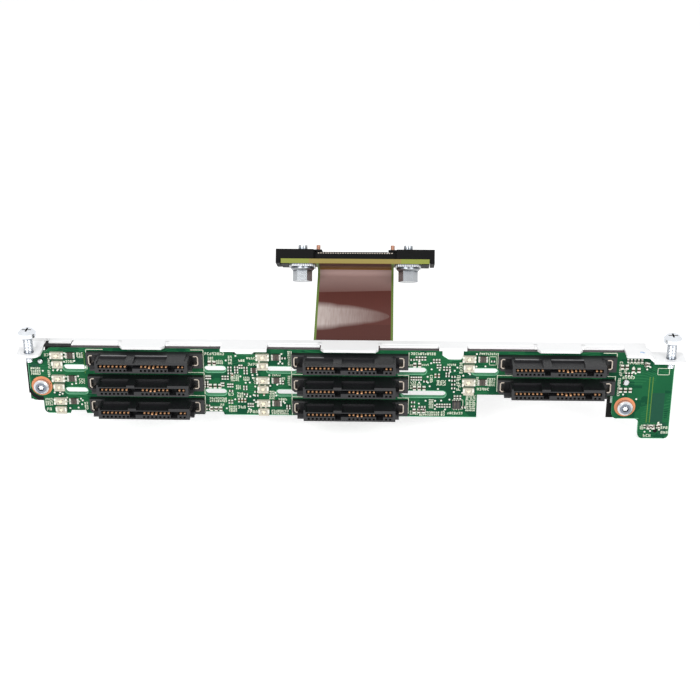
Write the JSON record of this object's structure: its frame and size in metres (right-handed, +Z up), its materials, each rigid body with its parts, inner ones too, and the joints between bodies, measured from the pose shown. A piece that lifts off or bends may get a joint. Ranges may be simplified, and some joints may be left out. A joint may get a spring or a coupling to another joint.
{
  "type": "drive backplane board",
  "caption": "Backplane board for slim drives: stacked drive receptacles on a folded steel bracket, with a flexible circuit to a screw-down connector head.",
  "frame": {"origin": "midway between the two ear screws, on the underside of the bracket's ears", "axes": "+X along the board to the right seen from the drive side, +Y to the board's rear, +Z up"},
  "size_m": [0.2067, 0.0501, 0.0504],
  "materials": {
    "board_green": "solder mask, satin",
    "film_black": "smooth film",
    "zinc_steel": "bright zinc plate",
    "connector_black": "moulded, fine grain",
    "contact_gold": "gold plated",
    "clip_tin": "tinned",
    "pad_copper": "bare copper",
    "screw_zinc": "bright zinc plate",
    "peg_steel": "turned",
    "led_white": "translucent moulding",
    "chip_black": "moulded",
    "array_black": "glazed",
    "capacitor_tan": "ceramic",
    "flex_brown": "glossy polyimide",
    "head_board_green": "cut laminate edge",
    "carrier_black": "moulded",
    "washer_steel": "stamped",
    "guide_brass": "turned"
  },
  "bodies": {
    "root": {"main_board": "board_green", "insulator_film": "film_black", "mounting_bracket": "zinc_steel", "ear_screw_left": "screw_zinc", "ear_screw_right": "screw_zinc", "ground_pads": "pad_copper", "board_screws": "screw_zinc", "locating_pegs": "peg_steel", "status_leds": "led_white", "activity_leds": "led_white", "resistor_arrays": "array_black", "driver_chip": "chip_black", "chip_capacitors": "capacitor_tan", "flex_cable": "flex_brown", "head_board": "head_board_green", "head_carrier": "carrier_black", "head_socket": "carrier_black", "head_contacts": "clip_tin", "head_screws": "screw_zinc", "head_washers": "washer_steel", "head_guide_pins": "guide_brass", "drive_connector_1": "connector_black", "drive_contacts_1": "contact_gold", "hold_down_clips_1": "clip_tin", "drive_connector_2": "connector_black", "drive_contacts_2": "contact_gold", "hold_down_clips_2": "clip_tin", "drive_connector_3": "connector_black", "drive_contacts_3": "contact_gold", "hold_down_clips_3": "clip_tin", "drive_connector_4": "connector_black", "drive_contacts_4": "contact_gold", "hold_down_clips_4": "clip_tin", "drive_connector_5": "connector_black", "drive_contacts_5": "contact_gold", "hold_down_clips_5": "clip_tin", "drive_connector_6": "connector_black", "drive_contacts_6": "contact_gold", "hold_down_clips_6": "clip_tin", "drive_connector_7": "connector_black", "drive_contacts_7": "contact_gold", "hold_down_clips_7": "clip_tin", "drive_connector_8": "connector_black", "drive_contacts_8": "contact_gold", "hold_down_clips_8": "clip_tin"}
  },
  "joints": []
}
